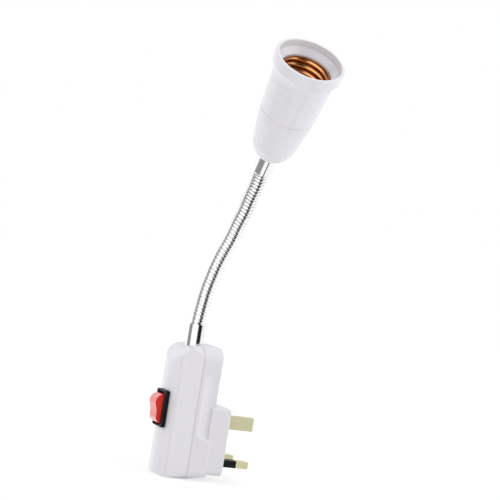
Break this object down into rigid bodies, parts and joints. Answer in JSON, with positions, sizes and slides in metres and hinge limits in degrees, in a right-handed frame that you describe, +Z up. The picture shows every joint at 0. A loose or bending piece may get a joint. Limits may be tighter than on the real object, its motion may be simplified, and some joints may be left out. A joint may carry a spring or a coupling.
{
  "type": "flexible lamp socket adapter",
  "caption": "Plug with a rocker switch, a ribbed neck that bends and stays, and a flared white screw lamp socket.",
  "frame": {"origin": "on the flat face of the plug's plinth, midway between the two line pins, on the object's centre plane", "axes": "+Y out of the plug face along the pins, -Y towards the rocker switch, +Z up the case to the neck, +X to the live pin's side"},
  "size_m": [0.1083, 0.0642, 0.2494],
  "materials": {
    "white_case": "moulded, glossy",
    "white_head": "moulded, glossy",
    "pale_brass": "drawn and tumbled",
    "contact_brass": "stamped",
    "black_plastic": "moulded, satin",
    "red_rocker": "clear red, glossy",
    "steel": "zinc plated",
    "fuse_ceramic": "glazed",
    "brown_lead": "insulated wire",
    "blue_lead": "insulated wire",
    "grey_lead": "insulated wire",
    "bright_ferrule": "bright plated",
    "neck_steel": "bright wound steel",
    "copper_shell": "rolled, bright"
  },
  "bodies": {
    "plug": {"front_shell": "white_case", "rear_shell": "white_case", "earth_pin": "pale_brass", "live_pin": "pale_brass", "neutral_pin": "pale_brass", "live_pin_sleeve": "black_plastic", "neutral_pin_sleeve": "black_plastic", "case_screws": "steel", "switch_body": "black_plastic", "switch_terminals": "contact_brass", "fuse_tube": "fuse_ceramic", "fuse_caps": "contact_brass", "fuse_clips": "contact_brass", "live_lead": "brown_lead", "switched_lead": "brown_lead", "neutral_lead": "blue_lead", "lower_lock_nut": "steel", "lower_ferrule": "bright_ferrule"},
    "rocker": {"rocker": "red_rocker"},
    "link_01": {"neck_link_01": "neck_steel"},
    "link_02": {"neck_link_02": "neck_steel"},
    "link_03": {"neck_link_03": "neck_steel"},
    "link_04": {"neck_link_04": "neck_steel"},
    "link_05": {"neck_link_05": "neck_steel"},
    "link_06": {"neck_link_06": "neck_steel"},
    "link_07": {"neck_link_07": "neck_steel"},
    "link_08": {"neck_link_08": "neck_steel"},
    "link_09": {"neck_link_09": "neck_steel"},
    "link_10": {"neck_link_10": "neck_steel"},
    "link_11": {"neck_link_11": "neck_steel"},
    "head": {"upper_ferrule": "bright_ferrule", "upper_lock_nut": "steel", "head_cap": "white_head", "head_skirt": "white_head", "contact_block": "fuse_ceramic", "screw_shell": "copper_shell", "centre_contact": "contact_brass", "contact_rivets": "contact_brass", "terminal_plates": "contact_brass", "terminal_screws": "steel", "head_leads": "grey_lead"}
  },
  "joints": [
    {"name": "rocker_tilt", "type": "hinge", "parent": "plug", "child": "rocker", "pos_m": [0, -0.0335, 0.0263], "axis": [1, 0, 0], "range_deg": [-20, 0]},
    {"name": "neck_side_low_1", "type": "hinge", "parent": "plug", "child": "link_01", "pos_m": [0, -0.0214, 0.0782], "axis": [-1, 0, 0], "range_deg": [-22.37, 10.63]},
    {"name": "neck_forward_low_1", "type": "hinge", "parent": "link_01", "child": "link_02", "pos_m": [0, -0.02053, 0.08672], "axis": [0, 0.9948, -0.1022], "range_deg": [-20.5, 12.5]},
    {"name": "neck_side_low_2", "type": "hinge", "parent": "link_02", "child": "link_03", "pos_m": [0.0006, -0.01965, 0.09521], "axis": [-0.9976, 0.0071, 0.0694], "range_deg": [-22.37, 10.63]},
    {"name": "neck_forward_low_2", "type": "hinge", "parent": "link_03", "child": "link_04", "pos_m": [0.00119, -0.01791, 0.10357], "axis": [-0.0071, 0.9791, -0.2031], "range_deg": [-20.5, 12.5]},
    {"name": "neck_side_low_3", "type": "hinge", "parent": "link_04", "child": "link_05", "pos_m": [0.00238, -0.01618, 0.11187], "axis": [-0.9903, 0.0213, 0.1374], "range_deg": [-22.37, 10.63]},
    {"name": "neck_forward_low_3", "type": "hinge", "parent": "link_05", "child": "link_06", "pos_m": [0.00356, -0.01361, 0.11995], "axis": [-0.0213, 0.9533, -0.3011], "range_deg": [-20.5, 12.5]},
    {"name": "neck_side_high_1", "type": "hinge", "parent": "link_06", "child": "link_07", "pos_m": [0.00532, -0.01105, 0.12792], "axis": [-0.9783, 0.0422, 0.2028], "range_deg": [-10.37, 22.63]},
    {"name": "neck_forward_high_1", "type": "hinge", "parent": "link_07", "child": "link_08", "pos_m": [0.00709, -0.00937, 0.13613], "axis": [0.0009, 0.9798, -0.1999], "range_deg": [-26.5, 6.5]},
    {"name": "neck_side_high_2", "type": "hinge", "parent": "link_08", "child": "link_09", "pos_m": [0.01029, -0.00779, 0.14391], "axis": [-0.9275, 0.0755, 0.3662], "range_deg": [-10.37, 22.63]},
    {"name": "neck_forward_high_2", "type": "hinge", "parent": "link_09", "child": "link_10", "pos_m": [0.01348, -0.00711, 0.15182], "axis": [0.0408, 0.994, -0.1016], "range_deg": [-26.5, 6.5]},
    {"name": "neck_side_high_3", "type": "hinge", "parent": "link_10", "child": "link_11", "pos_m": [0.01799, -0.00656, 0.15908], "axis": [-0.8488, 0.0881, 0.5213], "range_deg": [-10.37, 22.63]},
    {"name": "neck_forward_high_3", "type": "hinge", "parent": "link_11", "child": "head", "pos_m": [0.02244, -0.00691, 0.16638], "axis": [0.0969, 0.9952, -0.0105], "range_deg": [-26.5, 6.5]}
  ],
  "couplings": [
    {"joint": "neck_side_low_2", "follows": "neck_side_low_1", "ratio": 1},
    {"joint": "neck_forward_low_2", "follows": "neck_forward_low_1", "ratio": 1},
    {"joint": "neck_side_low_3", "follows": "neck_side_low_1", "ratio": 1},
    {"joint": "neck_forward_low_3", "follows": "neck_forward_low_1", "ratio": 1},
    {"joint": "neck_side_high_2", "follows": "neck_side_high_1", "ratio": 1},
    {"joint": "neck_forward_high_2", "follows": "neck_forward_high_1", "ratio": 1},
    {"joint": "neck_side_high_3", "follows": "neck_side_high_1", "ratio": 1},
    {"joint": "neck_forward_high_3", "follows": "neck_forward_high_1", "ratio": 1}
  ]
}
